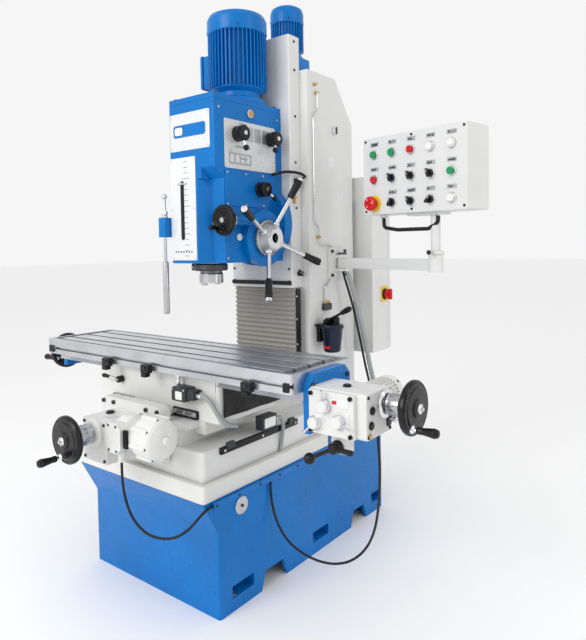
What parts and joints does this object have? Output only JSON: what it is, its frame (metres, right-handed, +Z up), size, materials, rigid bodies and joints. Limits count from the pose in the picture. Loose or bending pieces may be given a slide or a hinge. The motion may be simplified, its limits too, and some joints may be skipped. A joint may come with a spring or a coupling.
{
  "type": "vertical milling machine",
  "caption": "Bed-type vertical mill: plinth with tray, saddle and T-slot table with handwheels, column with sliding geared head, quill and capstan, and a swinging control panel.",
  "frame": {"origin": "centre of the plinth's six anchor holes, on the floor", "axes": "+X along the table to the operator's right, +Y towards the column, so the front faces -Y, +Z up"},
  "size_m": [1.7789, 1.577, 2.163],
  "materials": {
    "blue_paint": "smooth machine enamel",
    "cream_paint": "smooth machine enamel",
    "white_paint": "light grey-white machine enamel",
    "machined_iron": "ground and milled cast iron",
    "blue_plate": "enamelled cast plate",
    "bright_steel": "turned and ground steel",
    "black_plastic": "moulded phenolic",
    "chrome_steel": "plated steel with black grips",
    "bellows_sheet": "pleated coated sheet",
    "cable_rubber": "matt cable sheath",
    "red_plastic": "moulded",
    "green_plastic": "moulded",
    "white_plastic": "moulded",
    "selector_plastic": "moulded"
  },
  "bodies": {
    "base": {"base_plinth": "blue_paint", "coolant_tray": "cream_paint", "bed_casting": "white_paint", "column_casting": "white_paint", "lift_drive": "blue_paint", "column_bellows": "bellows_sheet", "electrical_cabinet": "white_paint", "lube_pump": "black_plastic", "y_drive_housing": "white_paint", "y_feed_motor": "white_paint", "arm_bracket": "white_paint", "y_motor_cable": "cable_rubber", "x_drive_cable": "cable_rubber"},
    "lift_screw": {"lift_screw": "bright_steel"},
    "cabinet_door": {"cabinet_door": "white_paint"},
    "isolator_handle": {"isolator_handle": "red_plastic"},
    "lube_lever": {"lube_lever": "black_plastic"},
    "saddle": {"saddle": "cream_paint"},
    "saddle_clamp": {"saddle_clamp_lever": "black_plastic"},
    "table": {"table": "machined_iron", "table_end_plates": "blue_plate", "x_gearbox": "white_paint", "x_feed_motor": "white_paint"},
    "x_screw": {"x_leadscrew": "bright_steel", "x_handwheels": "black_plastic"},
    "x_speed_lever_1": {"x_speed_lever_1": "black_plastic"},
    "x_speed_lever_2": {"x_speed_lever_2": "black_plastic"},
    "x_speed_lever_3": {"x_speed_lever_3": "black_plastic"},
    "x_feed_lever": {"x_feed_lever": "black_plastic"},
    "y_screw": {"y_leadscrew": "bright_steel", "y_handwheel": "black_plastic"},
    "head": {"vertical_slide": "white_paint", "head_casting": "blue_paint", "head_lid": "blue_paint", "spindle_motor": "blue_paint", "guard_rod": "bright_steel"},
    "quill": {"quill": "bright_steel"},
    "spindle": {"spindle": "bright_steel"},
    "capstan": {"capstan": "chrome_steel"},
    "fine_feed_wheel": {"fine_feed_wheel": "black_plastic"},
    "gear_lever_1": {"gear_lever_1": "black_plastic"},
    "gear_lever_2": {"gear_lever_2": "black_plastic"},
    "gear_lever_3": {"gear_lever_3": "black_plastic"},
    "slide_clamp": {"slide_clamp": "black_plastic"},
    "arm": {"pendant_arm": "white_paint"},
    "panel": {"control_box": "white_paint"},
    "green_button_1": {"green_button_1": "green_plastic"},
    "green_button_2": {"green_button_2": "green_plastic"},
    "red_button_1": {"red_button_1": "red_plastic"},
    "white_button_1": {"white_button_1": "white_plastic"},
    "red_button_2": {"red_button_2": "red_plastic"},
    "green_button_3": {"green_button_3": "green_plastic"},
    "white_button_2": {"white_button_2": "white_plastic"},
    "emergency_stop": {"emergency_stop": "red_plastic"},
    "selector_1": {"selector_1": "selector_plastic"},
    "selector_2": {"selector_2": "selector_plastic"},
    "selector_3": {"selector_3": "selector_plastic"},
    "selector_4": {"selector_4": "selector_plastic"},
    "selector_5": {"selector_5": "selector_plastic"},
    "selector_6": {"selector_6": "selector_plastic"}
  },
  "joints": [
    {"name": "saddle_slide", "type": "slide", "parent": "base", "child": "saddle", "axis": [0, 1, 0], "range_m": [-0.02, 0.25]},
    {"name": "table_slide", "type": "slide", "parent": "saddle", "child": "table", "axis": [1, 0, 0], "range_m": [-0.29, 0.25]},
    {"name": "head_slide", "type": "slide", "parent": "base", "child": "head", "axis": [0, 0, 1], "range_m": [-0.04, 0.34], "deforming": ["column_bellows"]},
    {"name": "y_screw_turn", "type": "hinge", "parent": "base", "child": "y_screw", "pos_m": [0, -0.5, 0.588], "axis": [0, 1, 0], "range_deg": [-18100, 1500]},
    {"name": "x_screw_turn", "type": "hinge", "parent": "table", "child": "x_screw", "pos_m": [0, -0.384, 0.73], "axis": [1, 0, 0], "range_deg": [-21000, 18100]},
    {"name": "lift_screw_turn", "type": "hinge", "parent": "base", "child": "lift_screw", "pos_m": [0, 0.215, 1.6], "axis": [0, 0, 1], "range_deg": [-20500, 2500]},
    {"name": "saddle_clamp_turn", "type": "hinge", "parent": "saddle", "child": "saddle_clamp", "pos_m": [-0.17, -0.4815, 0.69], "axis": [0, -1, 0], "range_deg": [-30, 30]},
    {"name": "x_speed_lever_1_turn", "type": "hinge", "parent": "table", "child": "x_speed_lever_1", "pos_m": [0.709, -0.4895, 0.728], "axis": [0, -1, 0], "range_deg": [-35, 35]},
    {"name": "x_speed_lever_2_turn", "type": "hinge", "parent": "table", "child": "x_speed_lever_2", "pos_m": [0.679, -0.4895, 0.68], "axis": [0, -1, 0], "range_deg": [-35, 35]},
    {"name": "x_speed_lever_3_turn", "type": "hinge", "parent": "table", "child": "x_speed_lever_3", "pos_m": [0.753, -0.4895, 0.692], "axis": [0, -1, 0], "range_deg": [-35, 35]},
    {"name": "x_feed_lever_turn", "type": "hinge", "parent": "table", "child": "x_feed_lever", "pos_m": [0.736, -0.4695, 0.619], "axis": [0, -1, 0], "range_deg": [-15, 15]},
    {"name": "quill_slide", "type": "slide", "parent": "head", "child": "quill", "axis": [0, 0, -1], "range_m": [0, 0.16]},
    {"name": "spindle_turn", "type": "hinge", "parent": "quill", "child": "spindle", "pos_m": [0, -0.2, 1.1], "axis": [0, 0, 1], "continuous": true},
    {"name": "capstan_turn", "type": "hinge", "parent": "head", "child": "capstan", "pos_m": [0.115, -0.05, 1.181], "axis": [1, 0, 0], "range_deg": [-1, 265]},
    {"name": "fine_feed_turn", "type": "hinge", "parent": "head", "child": "fine_feed_wheel", "pos_m": [0.15, -0.26, 1.243], "axis": [0, -1, 0], "continuous": true},
    {"name": "gear_lever_1_turn", "type": "hinge", "parent": "head", "child": "gear_lever_1", "pos_m": [0.1155, -0.17, 1.557], "axis": [1, 0, 0], "range_deg": [-40, 40]},
    {"name": "gear_lever_2_turn", "type": "hinge", "parent": "head", "child": "gear_lever_2", "pos_m": [0.1155, 0.016, 1.56], "axis": [1, 0, 0], "range_deg": [-40, 40]},
    {"name": "gear_lever_3_turn", "type": "hinge", "parent": "head", "child": "gear_lever_3", "pos_m": [0.1155, -0.052, 1.364], "axis": [1, 0, 0], "range_deg": [-40, 30]},
    {"name": "slide_clamp_turn", "type": "hinge", "parent": "head", "child": "slide_clamp", "pos_m": [0.1605, 0.128, 1.04], "axis": [1, 0, 0], "range_deg": [-60, 20]},
    {"name": "arm_swing", "type": "hinge", "parent": "base", "child": "arm", "pos_m": [0.233, 0.336, 1.076], "axis": [0, 0, 1], "range_deg": [-25, 50]},
    {"name": "panel_swivel", "type": "hinge", "parent": "arm", "child": "panel", "pos_m": [0.71363, 0.19818, 1.076], "axis": [0, 0, 1], "range_deg": [-45, 60]},
    {"name": "door_hinge", "type": "hinge", "parent": "base", "child": "cabinet_door", "pos_m": [-0.285, 0.656, 1.06], "axis": [0, 0, 1], "range_deg": [0, 110]},
    {"name": "isolator_turn", "type": "hinge", "parent": "base", "child": "isolator_handle", "pos_m": [0.2815, 0.606, 0.928], "axis": [1, 0, 0], "range_deg": [0, 90]},
    {"name": "lube_lever_pull", "type": "hinge", "parent": "base", "child": "lube_lever", "pos_m": [0.243, 0.1985, 0.846], "axis": [0, 1, 0], "range_deg": [0, 30], "stiffness_Nm_per_rad": 2, "springref_deg": -17.19},
    {"name": "green_button_1_push", "type": "slide", "parent": "panel", "child": "green_button_1", "axis": [0.1848, 0.9828, 0], "range_m": [0, 0.004], "stiffness_N_per_m": 400, "springref_m": -0.004},
    {"name": "green_button_2_push", "type": "slide", "parent": "panel", "child": "green_button_2", "axis": [0.1848, 0.9828, 0], "range_m": [0, 0.004], "stiffness_N_per_m": 400, "springref_m": -0.004},
    {"name": "red_button_1_push", "type": "slide", "parent": "panel", "child": "red_button_1", "axis": [0.1848, 0.9828, 0], "range_m": [0, 0.004], "stiffness_N_per_m": 400, "springref_m": -0.004},
    {"name": "white_button_1_push", "type": "slide", "parent": "panel", "child": "white_button_1", "axis": [0.1848, 0.9828, 0], "range_m": [0, 0.004], "stiffness_N_per_m": 400, "springref_m": -0.004},
    {"name": "red_button_2_push", "type": "slide", "parent": "panel", "child": "red_button_2", "axis": [0.1848, 0.9828, 0], "range_m": [0, 0.004], "stiffness_N_per_m": 400, "springref_m": -0.004},
    {"name": "green_button_3_push", "type": "slide", "parent": "panel", "child": "green_button_3", "axis": [0.1848, 0.9828, 0], "range_m": [0, 0.004], "stiffness_N_per_m": 400, "springref_m": -0.004},
    {"name": "white_button_2_push", "type": "slide", "parent": "panel", "child": "white_button_2", "axis": [0.1848, 0.9828, 0], "range_m": [0, 0.004], "stiffness_N_per_m": 400, "springref_m": -0.004},
    {"name": "emergency_stop_push", "type": "slide", "parent": "panel", "child": "emergency_stop", "axis": [0.1848, 0.9828, 0], "range_m": [0, 0.004], "stiffness_N_per_m": 600, "springref_m": -0.004},
    {"name": "selector_1_turn", "type": "hinge", "parent": "panel", "child": "selector_1", "pos_m": [0.56464, 0.16168, 1.39], "axis": [-0.1848, -0.9828, 0], "range_deg": [-45, 45]},
    {"name": "selector_2_turn", "type": "hinge", "parent": "panel", "child": "selector_2", "pos_m": [0.64621, 0.14634, 1.39], "axis": [-0.1848, -0.9828, 0], "range_deg": [-45, 45]},
    {"name": "selector_3_turn", "type": "hinge", "parent": "panel", "child": "selector_3", "pos_m": [0.7268, 0.13119, 1.39], "axis": [-0.1848, -0.9828, 0], "range_deg": [-45, 45]},
    {"name": "selector_4_turn", "type": "hinge", "parent": "panel", "child": "selector_4", "pos_m": [0.56464, 0.16168, 1.302], "axis": [-0.1848, -0.9828, 0], "range_deg": [-45, 45]},
    {"name": "selector_5_turn", "type": "hinge", "parent": "panel", "child": "selector_5", "pos_m": [0.64621, 0.14634, 1.302], "axis": [-0.1848, -0.9828, 0], "range_deg": [-45, 45]},
    {"name": "selector_6_turn", "type": "hinge", "parent": "panel", "child": "selector_6", "pos_m": [0.7268, 0.13119, 1.302], "axis": [-0.1848, -0.9828, 0], "range_deg": [-45, 45]}
  ],
  "couplings": [
    {"joint": "y_screw_turn", "follows": "saddle_slide", "rad_per_m": -1256.6},
    {"joint": "x_screw_turn", "follows": "table_slide", "rad_per_m": 1256.6},
    {"joint": "lift_screw_turn", "follows": "head_slide", "rad_per_m": -1047.2},
    {"joint": "capstan_turn", "follows": "quill_slide", "rad_per_m": 28.571}
  ]
}
